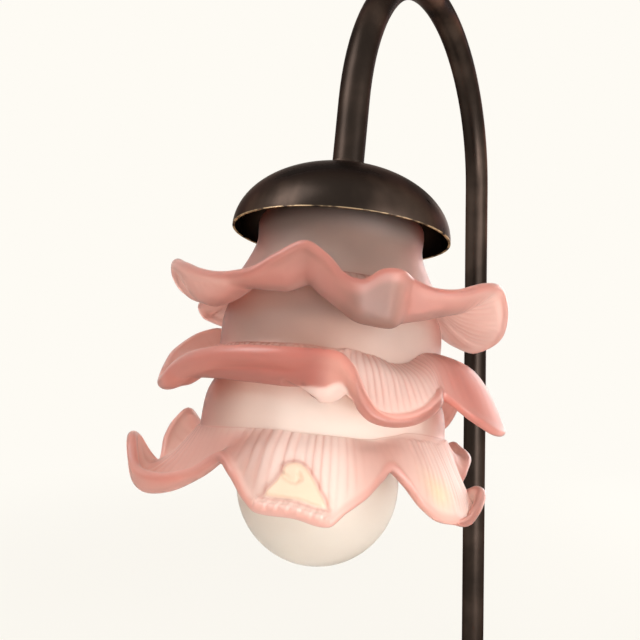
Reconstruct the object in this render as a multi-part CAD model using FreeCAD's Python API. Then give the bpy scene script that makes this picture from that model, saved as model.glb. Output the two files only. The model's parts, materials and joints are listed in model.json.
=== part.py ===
import FreeCAD, Part

import math
import os

# Table lamp with an arched tube stem and a three-tier ruffled glass shade.
# Millimetres, +Z up.  The origin is the centre of the base's underside, the stem stands on it,
# and the arch carries the head out towards -Y.

os.makedirs("parts", exist_ok=True)

V = FreeCAD.Vector

# ---------------------------------------------------------------- driving dimensions

# clearances
FIT = 0.05                    # screwed and pushed fits, radial
SLIP = 0.30                   # pieces that turn or slip past each other

# stem tube
TUBE_RADIUS = 6.25
TUBE_WALL = 1.6
STEM_HEIGHT = 325.0           # top of the straight stem, where the arch springs
ARCH_RADIUS = 85.0
ARCH_TURN = 168.0             # degrees the tube turns through before the straight end
DROP_LENGTH = 29.0            # straight end above the dome

# threaded pipe that joins stem, base and head
NIPPLE_RADIUS = 5.0
NIPPLE_BORE = 3.5
NIPPLE_GRIP = 13.0            # length screwed into the tube
NUT_FLATS = 14.0
NUT_HEIGHT = 3.2
NUT_BEVEL = 0.6               # share of the corners' stand-out that is bevelled off
WASHER_RADIUS = 9.5
WASHER_THICKNESS = 0.8

# base
BASE_RADIUS = 80.0
BASE_SHEET = 1.2
BASE_SKIRT = 12.0             # height of the upright skirt
BASE_CROWN = 18.0             # rise of the domed top above the skirt
BASE_FLAT_RADIUS = 18.0
FELT_THICKNESS = 2.0
FELT_MARGIN = 1.0             # the felt reaches this far past the weight
WEIGHT_ROOM = 4.8             # free space between the weight and the skirt
WEIGHT_HEIGHT = 16.0
WEIGHT_CHAMFER = 4.0
BOSS_RADIUS = 15.0
BOSS_FOOT_RADIUS = 24.0
RECESS_RADIUS = 20.0
RECESS_DEPTH = 8.0
SKIRT_LIFT = 1.0              # the skirt stays this far off the table
COLLAR_RADIUS = 15.0
COLLAR_HEIGHT = 11.0
COLLAR_LIP = 3.0
COLLAR_NECK = 2.2             # metal left round the tube at the collar's top
COLLAR_HOLLOW = 0.35          # how deep the collar's curve is drawn in
INLET_BORE = 3.2
INLET_WALL = 1.3
INLET_FLANGE = 2.0
INLET_FLANGE_THICKNESS = 1.6
INLET_NUT_FLATS = 11.0
INLET_NUT_HEIGHT = 2.4
CABLE_SLOT = 9.5

# dome over the shade
DOME_RADIUS = 42.3
DOME_HEIGHT = 27.2
DOME_SHEET = 0.9
DOME_FLAT_RADIUS = 8.0
TIP_RING_WALL = 1.0
TIP_RING_HEIGHT = 2.6

# lampholder
HOLDER_RADIUS = 19.2
HOLDER_BORE = 15.2
HOLDER_LEDGE = 16.6
HOLDER_TOP = 15.0             # depths below the dome's apex
HOLDER_MOUTH = 71.0
CAP_TOP = 6.0
CAP_BOTTOM = 18.6
CAP_RADIUS = 20.6
CAP_THICKNESS = 2.4
CAP_HUB_RADIUS = 8.0
CAP_HUB_HEIGHT = 6.0
INSERT_TOP = 26.0
INSERT_BOTTOM = 41.0
SHELL_SHEET = 0.45
SHELL_LENGTH = 25.0
SHELL_FLANGE_BORE = 9.0
THREAD_PITCH = 3.6
THREAD_DEPTH = 0.55
THREAD_TURNS = 5
CONTACT_WIDTH = 5.0
CONTACT_SHEET = 0.5
CONTACT_SCREW_OFFSET = 6.5
TERMINAL_OFFSET = 8.5
TERMINAL_SIZE = 5.0
TERMINAL_HEIGHT = 7.0
TERMINAL_SUNK = 3.0
TERMINAL_SCREW = 1.7
WIRE_HOLE = 1.1

# rings, gaskets and sleeves that hold the glass on the lampholder
RING_RADIUS = 26.5
RING_THICKNESS = 2.6
RING_GRIPS = 24
RING_GRIP_RADIUS = 0.9
GASKET_THICKNESS = 0.8
GASKET_RADIUS = 23.0
SLEEVE_WALL = 2.0
GLASS_HOLE_RADIUS = 20.2
GLASS_THICKNESS = 3.0
UPPER_SEAT = 22.4             # depth of each glass cup's seat below the apex
MIDDLE_SEAT = 39.5
LOWER_SEAT = 61.5

# lamp bulb
BULB_RADIUS = 30.0
BULB_LENGTH = 107.0
BULB_TIP = 44.4               # depth of the bulb's end contact below the apex
BULB_NECK_RADIUS = 13.6
BULB_NECK_END = 31.0          # from the end contact to the straight neck's lower end
BULB_WALL = 0.8
BULB_CAP_RADIUS = 13.1
BULB_CAP_START = 4.6
BULB_CAP_END = 26.0
BULB_CAP_SHEET = 0.4
BULB_CONTACT_RADIUS = 4.6
BULB_CONTACT_THICKNESS = 1.2
BULB_SHOULDER_RADIUS = 10.8

# glass cups: wall of each cup from its seat to the root of its petals, as (radius, depth)
# of the wall's middle line, with the depth counted from the apex of the dome
UPPER_WALL = (
    (26.0, 23.9), (30.6, 21.6), (30.8, 27.0), (29.8, 32.0),
    (32.4, 39.0), (35.4, 45.0), (37.8, 49.5))
MIDDLE_WALL = (
    (26.0, 41.0), (29.5, 43.5), (32.0, 49.8), (37.2, 55.0),
    (40.0, 61.0), (40.3, 67.0), (40.2, 74.0))
LOWER_WALL = (
    (29.5, 63.0), (32.5, 67.0), (34.0, 74.0), (36.4, 81.0),
    (41.9, 88.0), (43.7, 94.0), (44.1, 102.0))

# ruffles: the middle line of each petal or fold round the tier, as (angle round the head in
# degrees, depth of the root, belly radius, belly depth, lip radius, lip depth, rim radius, rim depth)
UPPER_RUFFLE = (
    (-178, 49.5, 47.0, 54.0, 54.0, 58.0, 58.0, 60.5), (-171, 49.5, 47.0, 53.0, 53.5, 56.0, 57.5, 57.5),
    (-164, 49.5, 47.0, 53.0, 51.5, 54.0, 54.0, 54.5), (-157, 49.5, 49.0, 56.0, 56.0, 54.5, 59.5, 51.0),
    (-150, 49.5, 50.0, 59.0, 58.0, 54.0, 61.5, 47.0), (-142, 49.5, 50.0, 60.0, 58.0, 51.0, 62.0, 44.5),
    (-130, 49.5, 51.0, 63.0, 57.0, 55.0, 60.0, 47.5), (-119, 49.5, 50.0, 65.0, 55.0, 58.0, 58.0, 51.0),
    (-110, 49.5, 49.0, 63.0, 54.0, 56.0, 57.0, 53.0), (-103, 49.5, 48.0, 57.5, 54.0, 55.5, 57.0, 53.5),
    (-93, 49.5, 47.0, 58.5, 54.0, 54.5, 57.5, 52.5), (-84, 49.5, 47.0, 60.0, 54.0, 50.5, 57.5, 47.5),
    (-75, 49.5, 47.0, 57.0, 54.0, 47.5, 58.0, 43.5), (-68, 49.5, 50.0, 62.0, 54.0, 52.0, 57.5, 47.0),
    (-61, 49.5, 51.0, 66.0, 55.0, 59.0, 57.5, 53.0), (-55, 49.5, 52.0, 70.0, 56.0, 62.0, 57.5, 54.0),
    (-49, 49.5, 53.0, 72.0, 56.0, 60.0, 57.5, 50.0), (-43, 49.5, 53.0, 72.0, 56.0, 60.0, 57.0, 49.0),
    (-36, 49.5, 48.5, 68.0, 51.0, 59.0, 53.5, 50.0), (-27, 49.5, 49.0, 65.0, 51.5, 58.0, 54.0, 52.0),
    (-18, 49.5, 50.5, 62.0, 55.0, 55.5, 58.0, 51.5), (-8, 49.5, 51.0, 58.5, 58.0, 53.0, 63.0, 47.5),
    (0, 49.5, 50.0, 54.5, 60.0, 49.5, 65.0, 47.0), (6, 49.5, 49.0, 53.0, 60.0, 51.5, 65.7, 51.0),
    (13, 49.5, 49.5, 56.0, 60.0, 56.0, 65.5, 55.0), (21, 49.5, 50.5, 59.0, 59.0, 60.5, 64.5, 60.0),
    (29, 49.5, 49.5, 60.0, 57.0, 63.0, 62.0, 63.0), (35, 49.5, 47.5, 60.0, 53.0, 64.0, 58.0, 65.0),
    (42, 49.5, 46.0, 58.0, 49.5, 61.5, 53.0, 62.5), (50, 49.5, 46.0, 56.0, 48.5, 58.0, 50.5, 59.0),
    (58, 49.5, 46.5, 54.0, 50.0, 54.0, 52.0, 55.0), (68, 49.5, 47.0, 52.0, 54.0, 50.0, 58.0, 47.0),
    (88, 49.5, 48.0, 50.0, 56.0, 60.0, 60.0, 66.0), (108, 49.5, 47.1, 58.0, 55.1, 51.0, 58.0, 48.0),
    (130, 49.5, 48.5, 58.0, 57.6, 45.4, 61.0, 40.0), (156, 49.5, 47.1, 49.0, 55.1, 56.7, 58.0, 60.0))
MIDDLE_RUFFLE = (
    (-176, 75.0, 50.0, 77.0, 55.0, 70.0, 57.5, 66.5), (-160, 75.0, 51.0, 80.0, 59.0, 78.0, 61.0, 76.0),
    (-149, 75.0, 52.0, 85.0, 59.0, 86.0, 62.0, 84.0), (-141, 75.0, 52.0, 91.0, 59.0, 91.0, 62.5, 89.0),
    (-128, 76.0, 50.0, 89.0, 57.0, 87.0, 60.0, 83.5), (-112, 76.0, 50.0, 89.5, 57.0, 85.5, 59.5, 80.0),
    (-95, 76.0, 49.0, 91.0, 56.0, 84.0, 58.5, 78.5), (-82, 76.0, 51.0, 92.0, 56.0, 84.5, 58.5, 78.3),
    (-72, 76.0, 50.0, 93.0, 55.0, 85.0, 58.0, 78.0), (-66, 76.3, 50.0, 97.5, 55.5, 87.0, 58.0, 77.8),
    (-60, 76.5, 50.5, 95.0, 55.5, 89.0, 58.5, 78.5), (-56.5, 76.5, 51.0, 87.0, 56.0, 92.0, 59.0, 81.5),
    (-54, 77.0, 50.0, 84.0, 57.0, 95.0, 59.5, 85.5), (-51, 77.5, 50.0, 82.0, 57.0, 97.5, 60.0, 91.5),
    (-47.5, 78.5, 50.0, 81.0, 57.0, 98.7, 60.5, 95.5), (-42, 79.0, 50.0, 81.0, 57.0, 98.5, 60.5, 97.2),
    (-36, 80.5, 50.0, 82.0, 57.0, 97.5, 60.5, 96.0), (-30, 80.5, 50.0, 82.0, 57.0, 95.0, 60.0, 93.0),
    (-24.5, 79.5, 49.5, 81.0, 55.5, 91.0, 59.0, 89.0), (-20, 78.0, 48.0, 79.0, 52.5, 87.5, 56.0, 87.0),
    (-14, 75.0, 46.0, 76.0, 50.0, 85.0, 52.0, 87.5), (-6, 74.0, 50.0, 74.0, 56.0, 86.0, 59.0, 94.0),
    (4, 73.0, 53.0, 74.0, 61.0, 88.0, 64.0, 98.0), (13, 73.0, 54.0, 74.0, 63.0, 90.0, 66.0, 98.0),
    (22, 73.0, 53.0, 76.0, 60.0, 88.0, 64.0, 95.0), (40, 74.0, 49.3, 79.0, 55.6, 81.1, 58.0, 82.0),
    (64, 74.0, 50.2, 74.0, 57.4, 90.1, 60.0, 97.0), (88, 74.0, 47.8, 80.0, 53.1, 78.6, 55.0, 78.0),
    (114, 74.0, 51.2, 74.0, 59.1, 88.7, 62.0, 95.0), (142, 74.0, 49.3, 80.0, 55.6, 77.2, 58.0, 76.0),
    (162, 74.0, 50.0, 74.0, 56.0, 74.0, 58.0, 72.0), (172, 74.0, 49.0, 73.0, 53.5, 66.0, 55.5, 64.0))
LOWER_RUFFLE = (
    (-178, 104.0, 50.6, 108.0, 57.0, 102.0, 60.5, 98.0),
    (-171, 104.5, 52.0, 112.0, 59.0, 108.0, 62.0, 103.0),
    (-160, 105.0, 53.0, 118.0, 60.0, 121.0, 63.0, 119.0),
    (-150, 106.0, 54.0, 118.0, 65.0, 124.0, 68.0, 110.0),
    (-141, 106.0, 55.0, 121.0, 67.0, 131.0, 69.5, 110.0),
    (-132, 106.0, 54.0, 124.0, 64.0, 131.0, 68.0, 120.0),
    (-122, 106.0, 52.0, 124.0, 60.0, 128.0, 63.0, 122.0),
    (-110, 106.0, 50.0, 119.0, 56.0, 122.0, 59.0, 119.5),
    (-100, 106.0, 48.0, 112.0, 53.0, 114.0, 56.0, 115.0),
    (-92, 106.0, 49.0, 110.0, 55.0, 117.0, 58.0, 120.0),
    (-86, 106.0, 50.0, 109.0, 56.0, 123.0, 58.0, 127.0),
    (-82, 106.0, 50.5, 109.0, 56.0, 125.0, 58.0, 130.0),
    (-70, 106.5, 50.5, 109.0, 56.0, 125.5, 58.0, 130.5),
    (-59, 106.5, 50.5, 109.0, 56.0, 126.0, 58.5, 132.0),
    (-54, 106.5, 50.0, 109.0, 56.0, 123.0, 58.0, 127.5),
    (-48, 106.5, 49.5, 108.0, 55.0, 119.0, 57.0, 123.0),
    (-42, 106.0, 48.0, 108.0, 52.0, 114.0, 55.0, 117.0),
    (-38, 105.0, 47.0, 107.0, 51.0, 111.0, 54.0, 113.5),
    (-32, 104.0, 49.0, 107.0, 55.0, 115.0, 59.0, 119.0),
    (-26, 102.5, 51.0, 109.0, 58.0, 121.0, 61.5, 126.5),
    (-20, 102.0, 52.0, 111.0, 59.0, 126.0, 62.5, 130.0),
    (-13, 102.0, 53.0, 113.0, 60.5, 129.0, 63.0, 129.5),
    (-6, 102.0, 53.0, 115.0, 61.0, 131.0, 63.0, 126.0), (0, 102.0, 53.0, 117.0, 61.5, 131.0, 62.8, 119.0),
    (6, 102.0, 53.0, 118.0, 61.0, 130.0, 62.0, 113.5), (11, 102.0, 53.0, 118.0, 59.0, 127.0, 60.0, 116.0),
    (16, 102.0, 53.0, 117.0, 57.0, 121.0, 57.5, 118.5),
    (22, 102.0, 52.0, 113.0, 56.0, 113.0, 57.0, 111.0),
    (29, 102.0, 51.0, 110.0, 56.0, 107.0, 58.5, 104.0),
    (38, 102.0, 50.1, 112.0, 55.2, 104.3, 57.0, 101.0),
    (60, 102.0, 52.1, 113.0, 58.6, 122.8, 61.0, 127.0),
    (86, 102.0, 48.2, 112.0, 51.7, 110.6, 53.0, 110.0),
    (112, 102.0, 52.5, 113.0, 59.5, 124.9, 62.0, 130.0),
    (138, 102.0, 48.7, 112.0, 52.6, 109.2, 54.0, 108.0),
    (160, 102.0, 51.6, 116.0, 57.7, 117.4, 60.0, 118.0))
STATIONS = 60                 # sections round each cup
SKIN_DEGREE = 3
KNEE = 0.7                    # where the wall stops turning, between its last point and the root
EASE = 0.9                    # how freely the ruffle swings between its rows

# ---------------------------------------------------------------- shared places

HEAD_TILT = ARCH_TURN - 180.0
ARCH_CENTRE = V(0, -ARCH_RADIUS, STEM_HEIGHT)
TURN = math.radians(ARCH_TURN)
ARCH_END = ARCH_CENTRE + V(0, ARCH_RADIUS * math.cos(TURN), ARCH_RADIUS * math.sin(TURN))
HEAD_DOWN = V(0, -math.sin(TURN), math.cos(TURN))
APEX = ARCH_END + HEAD_DOWN * DROP_LENGTH
HEAD = FreeCAD.Placement(APEX, FreeCAD.Rotation(V(1, 0, 0), HEAD_TILT))
COVER_TOP = SKIRT_LIFT + BASE_SKIRT + BASE_CROWN
WEIGHT_RADIUS = BASE_RADIUS - BASE_SHEET - WEIGHT_ROOM
FELT_RADIUS = WEIGHT_RADIUS + FELT_MARGIN
TUBE_BORE = TUBE_RADIUS - TUBE_WALL
INLET_HEIGHT = SKIRT_LIFT + BASE_SKIRT / 2
INLET_RADIUS = INLET_BORE + INLET_WALL
WEIGHT_TOP = FELT_THICKNESS + WEIGHT_HEIGHT
WEIGHT_WEB = FELT_THICKNESS + RECESS_DEPTH
BULB_CENTRE = BULB_TIP + BULB_LENGTH - BULB_RADIUS
NIPPLE_END = CAP_TOP + CAP_HUB_HEIGHT


# ---------------------------------------------------------------- helpers

def save(name, shape):
    """Write one finished sub-part."""
    shape.exportStep("parts/" + name + ".step")


def save_head(name, shape):
    """Write a sub-part that was drawn on the head's own axis, apex at the origin."""
    save(name, shape.transformShape(HEAD.toMatrix(), True))


def turned(*edges):
    """Solid of revolution about Z from the closed outline that the edges make in the XZ plane."""
    face = Part.Face(Part.Wire(Part.__sortEdges__(list(edges))))
    return face.revolve(V(0, 0, 0), V(0, 0, 1), 360)


def outline(points):
    """Straight edges through (radius, height) points, closed."""
    corners = [V(r, 0, z) for r, z in points]
    return [Part.makeLine(a, b) for a, b in zip(corners, corners[1:] + corners[:1])]


def ring(inner, outer, bottom, top):
    """Plain ring between two radii and two heights."""
    disc = Part.makeCylinder(outer, top - bottom, V(0, 0, bottom))
    if inner <= 0:
        return disc
    return disc.cut(Part.makeCylinder(inner, top - bottom, V(0, 0, bottom)))


def hex_corner(flats):
    """Distance from the centre of a hexagon to its corners, from the distance across its flats."""
    return flats / math.sqrt(3)


def hexagon(flats, bottom, top):
    """Hexagonal prism about Z, with the given distance across its flats."""
    radius = hex_corner(flats)
    turns = [k * math.pi / 3 for k in range(6)]
    corners = [V(radius * math.cos(turn), radius * math.sin(turn), bottom) for turn in turns]
    return Part.Face(Part.makePolygon(corners + corners[:1])).extrude(V(0, 0, top - bottom))


def nut(flats, bore, bottom, height):
    """Hexagonal nut with chamfered corners."""
    body = hexagon(flats, bottom, bottom + height)
    corner = hex_corner(flats)
    bevel = (corner - flats / 2) * NUT_BEVEL
    blank = Part.makeCylinder(corner, height, V(0, 0, bottom))
    blank = blank.makeChamfer(bevel, [e for e in blank.Edges if isinstance(e.Curve, Part.Circle)])
    return body.common(blank).cut(Part.makeCylinder(bore, height, V(0, 0, bottom)))


def ellipse_arc(wide, high, centre_height, inner_radius):
    """Quarter of an ellipse about the axis, from its widest point up to a given radius."""
    centre = V(0, 0, centre_height)
    ellipse = Part.Ellipse(centre + V(wide, 0, 0), centre + V(0, 0, high), centre)
    return Part.ArcOfEllipse(ellipse, 0, math.acos(inner_radius / wide)).toShape()


def ellipse_rise(wide, rise, flat_radius):
    """Half height of the ellipse that reaches the given rise at the edge of the flat."""
    return rise / math.sqrt(1 - (flat_radius / wide) ** 2)


def ends(edge):
    """First and last point of an edge."""
    return edge.valueAt(edge.FirstParameter), edge.valueAt(edge.LastParameter)


def dished_sheet(wide, rise, flat_radius, skirt, sheet, hole, rim_height):
    """Spun sheet: upright skirt, elliptical shoulder and flat top with a hole, open below."""
    spring = rim_height + skirt
    outer = ellipse_arc(wide, ellipse_rise(wide, rise, flat_radius), spring, flat_radius)
    inner_wide = wide - sheet
    inner_high = ellipse_rise(inner_wide, rise - sheet, flat_radius)
    inner = ellipse_arc(inner_wide, inner_high, spring, flat_radius)
    outer_low, outer_high = ends(outer)
    inner_low, inner_top = ends(inner)
    rim_out = V(wide, 0, rim_height)
    rim_in = V(inner_wide, 0, rim_height)
    hole_top = V(hole, 0, outer_high.z)
    hole_low = V(hole, 0, inner_top.z)
    edges = [outer, inner, Part.makeLine(rim_out, rim_in)]
    if skirt > 0:
        edges += [Part.makeLine(rim_out, outer_low), Part.makeLine(rim_in, inner_low)]
    edges += [Part.makeLine(outer_high, hole_top), Part.makeLine(inner_top, hole_low)]
    edges += [Part.makeLine(hole_top, hole_low)]
    return turned(*edges)


# ---------------------------------------------------------------- base and stem

def inlet_axis(radius, start, length):
    """Cylinder along the cable inlet's axis, which leaves the skirt at the back."""
    return Part.makeCylinder(radius, length, V(0, start, INLET_HEIGHT), V(0, 1, 0))


def base_cover():
    cover = dished_sheet(BASE_RADIUS, BASE_CROWN, BASE_FLAT_RADIUS, BASE_SKIRT, BASE_SHEET,
                         NIPPLE_RADIUS + SLIP, SKIRT_LIFT)
    return cover.cut(inlet_axis(INLET_RADIUS + FIT, BASE_RADIUS - 2 * BASE_SHEET, 3 * BASE_SHEET))


def base_weight():
    """Cast disc with a raised boss that the cover sits on and a recess for the nut."""
    bore = NIPPLE_RADIUS + SLIP
    boss_top = COVER_TOP - BASE_SHEET
    disc = turned(*outline([
        (bore, WEIGHT_WEB), (bore, boss_top), (BOSS_RADIUS, boss_top), (BOSS_FOOT_RADIUS, WEIGHT_TOP),
        (WEIGHT_RADIUS - WEIGHT_CHAMFER, WEIGHT_TOP), (WEIGHT_RADIUS, WEIGHT_TOP - WEIGHT_CHAMFER),
        (WEIGHT_RADIUS, FELT_THICKNESS), (RECESS_RADIUS, FELT_THICKNESS), (RECESS_RADIUS, WEIGHT_WEB)]))
    slot_height = INLET_HEIGHT + CABLE_SLOT / 2 - FELT_THICKNESS
    slot = Part.makeBox(CABLE_SLOT, WEIGHT_RADIUS + SLIP, slot_height,
                        V(-CABLE_SLOT / 2, 0, FELT_THICKNESS))
    return disc.cut(slot)


def foot_collar():
    """Turned collar with a hollow curve that covers the joint between stem and base."""
    bore = TUBE_RADIUS + FIT
    neck = bore + COLLAR_NECK
    lip_top = COVER_TOP + COLLAR_LIP
    top = COVER_TOP + COLLAR_HEIGHT
    shoulder = COLLAR_RADIUS - COLLAR_NECK / 2
    hollow = V(neck + (shoulder - neck) * COLLAR_HOLLOW, 0, lip_top + (top - lip_top) * COLLAR_HOLLOW)
    line = Part.makeLine
    return turned(
        line(V(bore, 0, COVER_TOP), V(COLLAR_RADIUS, 0, COVER_TOP)),
        line(V(COLLAR_RADIUS, 0, COVER_TOP), V(COLLAR_RADIUS, 0, lip_top)),
        line(V(COLLAR_RADIUS, 0, lip_top), V(shoulder, 0, lip_top)),
        Part.Arc(V(shoulder, 0, lip_top), hollow, V(neck, 0, top)).toShape(),
        line(V(neck, 0, top), V(bore, 0, top)),
        line(V(bore, 0, top), V(bore, 0, COVER_TOP)))


def stem_rod(radius):
    """Solid rod along the stem: straight, round the arch and along the short straight end."""
    disc = Part.Face(Part.Wire(Part.makeCircle(radius, V(0, 0, STEM_HEIGHT))))
    stem = Part.makeCylinder(radius, STEM_HEIGHT - COVER_TOP, V(0, 0, COVER_TOP))
    arch = disc.revolve(ARCH_CENTRE, V(1, 0, 0), ARCH_TURN)
    tip = Part.makeCylinder(radius, DROP_LENGTH, APEX, HEAD_DOWN * -1)
    return stem.fuse([arch, tip]).removeSplitter()


def stem_tube():
    """Arched tube, tapped at both ends for the threaded pipes."""
    tap_radius = NIPPLE_RADIUS + FIT
    foot_tap = Part.makeCylinder(tap_radius, NIPPLE_GRIP + FIT, V(0, 0, COVER_TOP))
    tip_tap = Part.makeCylinder(tap_radius, NIPPLE_GRIP + FIT, APEX, HEAD_DOWN * -1)
    return stem_rod(TUBE_RADIUS).cut([stem_rod(TUBE_BORE), foot_tap, tip_tap])


def inlet_bush():
    """Flanged bush through the skirt."""
    inside = BASE_RADIUS - BASE_SHEET - INLET_NUT_HEIGHT - INLET_WALL
    front = BASE_RADIUS + INLET_FLANGE_THICKNESS
    neck = inlet_axis(INLET_RADIUS, inside, BASE_RADIUS - inside)
    flange = inlet_axis(INLET_RADIUS + INLET_FLANGE, BASE_RADIUS, INLET_FLANGE_THICKNESS)
    bush = neck.fuse(flange).removeSplitter()
    rim = [edge for edge in bush.Edges if abs(edge.BoundBox.YMin - front) < FIT]
    return bush.makeFillet(INLET_WALL / 2, rim).cut(inlet_axis(INLET_BORE, inside, front - inside))


def inlet_nut():
    """Nut behind the skirt, its corners just clear of the skirt's curve."""
    piece = nut(INLET_NUT_FLATS, INLET_RADIUS + FIT, 0, INLET_NUT_HEIGHT)
    piece.rotate(V(0, 0, 0), V(1, 0, 0), -90)
    corner = hex_corner(INLET_NUT_FLATS)
    seat = math.sqrt((BASE_RADIUS - BASE_SHEET) ** 2 - corner ** 2)
    return piece.translated(V(0, seat - INLET_NUT_HEIGHT, INLET_HEIGHT))


def build_base():
    save("base_felt", ring(0, FELT_RADIUS, 0, FELT_THICKNESS))
    save("base_weight", base_weight())
    save("base_cover", base_cover())
    save("foot_collar", foot_collar())
    save("stem_tube", stem_tube())
    washer_low = WEIGHT_WEB - WASHER_THICKNESS
    nut_low = washer_low - NUT_HEIGHT
    save("base_washer", ring(NIPPLE_RADIUS + SLIP, WASHER_RADIUS, washer_low, WEIGHT_WEB))
    save("base_nut", nut(NUT_FLATS, NIPPLE_RADIUS + FIT, nut_low, NUT_HEIGHT))
    save("base_nipple", ring(NIPPLE_BORE, NIPPLE_RADIUS, nut_low - FIT, COVER_TOP + NIPPLE_GRIP))
    save("inlet_bush", inlet_bush())
    save("inlet_nut", inlet_nut())


# ---------------------------------------------------------------- dome and lampholder

def holder_cap():
    """Cup-shaped cap with a threaded hub, screwed over the top of the holder body."""
    bore = NIPPLE_RADIUS + FIT
    wall_in = HOLDER_RADIUS + FIT
    hub_low = CAP_TOP + CAP_HUB_HEIGHT
    lid_low = CAP_TOP + CAP_THICKNESS
    grip_out = HOLDER_LEDGE - FIT
    grip_in = grip_out - CAP_THICKNESS
    seat = HOLDER_TOP - FIT
    return turned(*outline([
        (bore, -CAP_TOP), (CAP_RADIUS - CAP_THICKNESS, -CAP_TOP), (CAP_RADIUS, -CAP_TOP - CAP_THICKNESS),
        (CAP_RADIUS, -CAP_BOTTOM), (wall_in, -CAP_BOTTOM), (wall_in, -seat), (grip_out, -seat),
        (grip_out, -INSERT_TOP), (grip_in, -INSERT_TOP), (grip_in, -lid_low), (CAP_HUB_RADIUS, -lid_low),
        (CAP_HUB_RADIUS, -hub_low), (bore, -hub_low)]))


def holder_body():
    """Skirt of the lampholder, threaded outside for the rings, with a ledge for the insert."""
    chamfer = HOLDER_RADIUS - HOLDER_LEDGE
    return turned(*outline([
        (HOLDER_LEDGE, -HOLDER_TOP), (HOLDER_RADIUS, -HOLDER_TOP),
        (HOLDER_RADIUS, chamfer / 2 - HOLDER_MOUTH), (HOLDER_RADIUS - chamfer / 2, -HOLDER_MOUTH),
        (HOLDER_BORE, -HOLDER_MOUTH),
        (HOLDER_BORE, -INSERT_BOTTOM), (HOLDER_LEDGE, -INSERT_BOTTOM)]))


def terminal_places():
    return ((-TERMINAL_OFFSET, "terminal_neutral"), (TERMINAL_OFFSET, "terminal_live"))


def terminal_box(x, grow):
    """Space of one terminal block, grown by a clearance."""
    half = TERMINAL_SIZE / 2 + grow
    floor = -INSERT_TOP - TERMINAL_SUNK
    return Part.makeBox(2 * half, 2 * half, TERMINAL_HEIGHT, V(x - half, -half, floor))


def holder_insert():
    """Ceramic block that carries the contacts, with pockets for the terminals."""
    block = ring(0, HOLDER_LEDGE - FIT, -INSERT_BOTTOM, -INSERT_TOP)
    return block.cut([terminal_box(x, FIT) for x, name in terminal_places()])


def terminal(x):
    """Brass block with a cross hole for the wire and a slotted screw."""
    top = TERMINAL_HEIGHT - INSERT_TOP - TERMINAL_SUNK
    half = TERMINAL_SIZE / 2
    screw = Part.makeCylinder(TERMINAL_SCREW, TERMINAL_SCREW, V(x, 0, top))
    slot = Part.makeBox(2 * TERMINAL_SCREW, CONTACT_SHEET, TERMINAL_SCREW / 2,
                        V(x - TERMINAL_SCREW, -CONTACT_SHEET / 2, top + TERMINAL_SCREW / 2))
    hole = Part.makeCylinder(WIRE_HOLE, TERMINAL_SIZE, V(x, -half, top - 2 * WIRE_HOLE), V(0, 1, 0))
    return terminal_box(x, 0).fuse(screw).cut([slot, hole])


def thread_wave(radius, start, turns, depth):
    """Round thread drawn as rings: arcs that bulge out by depth, from start downwards."""
    arcs = []
    for turn in range(turns):
        top = start - turn * THREAD_PITCH
        low = top - THREAD_PITCH
        crest = V(radius + depth, 0, (top + low) / 2)
        arcs.append(Part.Arc(V(radius, 0, top), crest, V(radius, 0, low)).toShape())
    return arcs


def screw_shell():
    """Threaded contact sleeve with an inward flange under the insert."""
    top = -INSERT_BOTTOM
    flange_low = top - SHELL_SHEET
    start = flange_low - THREAD_PITCH / 2
    stop = start - THREAD_TURNS * THREAD_PITCH
    mouth = top - SHELL_LENGTH
    root_in = BULB_CAP_RADIUS + SLIP
    root_out = root_in + SHELL_SHEET
    lip_in = root_in + THREAD_DEPTH
    lip_out = root_out + THREAD_DEPTH
    line = Part.makeLine
    edges = [
        line(V(SHELL_FLANGE_BORE, 0, top), V(root_out, 0, top)),
        line(V(root_out, 0, top), V(root_out, 0, start)),
        line(V(root_out, 0, stop), V(lip_out, 0, mouth)), line(V(lip_out, 0, mouth), V(lip_in, 0, mouth)),
        line(V(lip_in, 0, mouth), V(root_in, 0, stop)),
        line(V(root_in, 0, start), V(root_in, 0, flange_low)),
        line(V(root_in, 0, flange_low), V(SHELL_FLANGE_BORE, 0, flange_low)),
        line(V(SHELL_FLANGE_BORE, 0, flange_low), V(SHELL_FLANGE_BORE, 0, top))]
    edges += thread_wave(root_out, start, THREAD_TURNS, THREAD_DEPTH)
    edges += thread_wave(root_in, start, THREAD_TURNS, THREAD_DEPTH)
    return turned(*edges)


def centre_contact():
    """Sprung tongue fixed under the insert, bent down to meet the bulb's end contact."""
    root = -INSERT_BOTTOM
    tip = FIT - BULB_TIP + CONTACT_SHEET
    half = CONTACT_WIDTH / 2
    far = CONTACT_SCREW_OFFSET + half / 2
    near = CONTACT_SCREW_OFFSET - half
    upper = [(far, root), (near, root), (half / 2, tip), (-half, tip)]
    lower = [(x, z - CONTACT_SHEET) for x, z in reversed(upper)]
    corners = [V(x, -half, z) for x, z in upper + lower]
    return Part.Face(Part.makePolygon(corners + corners[:1])).extrude(V(0, CONTACT_WIDTH, 0))


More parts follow.
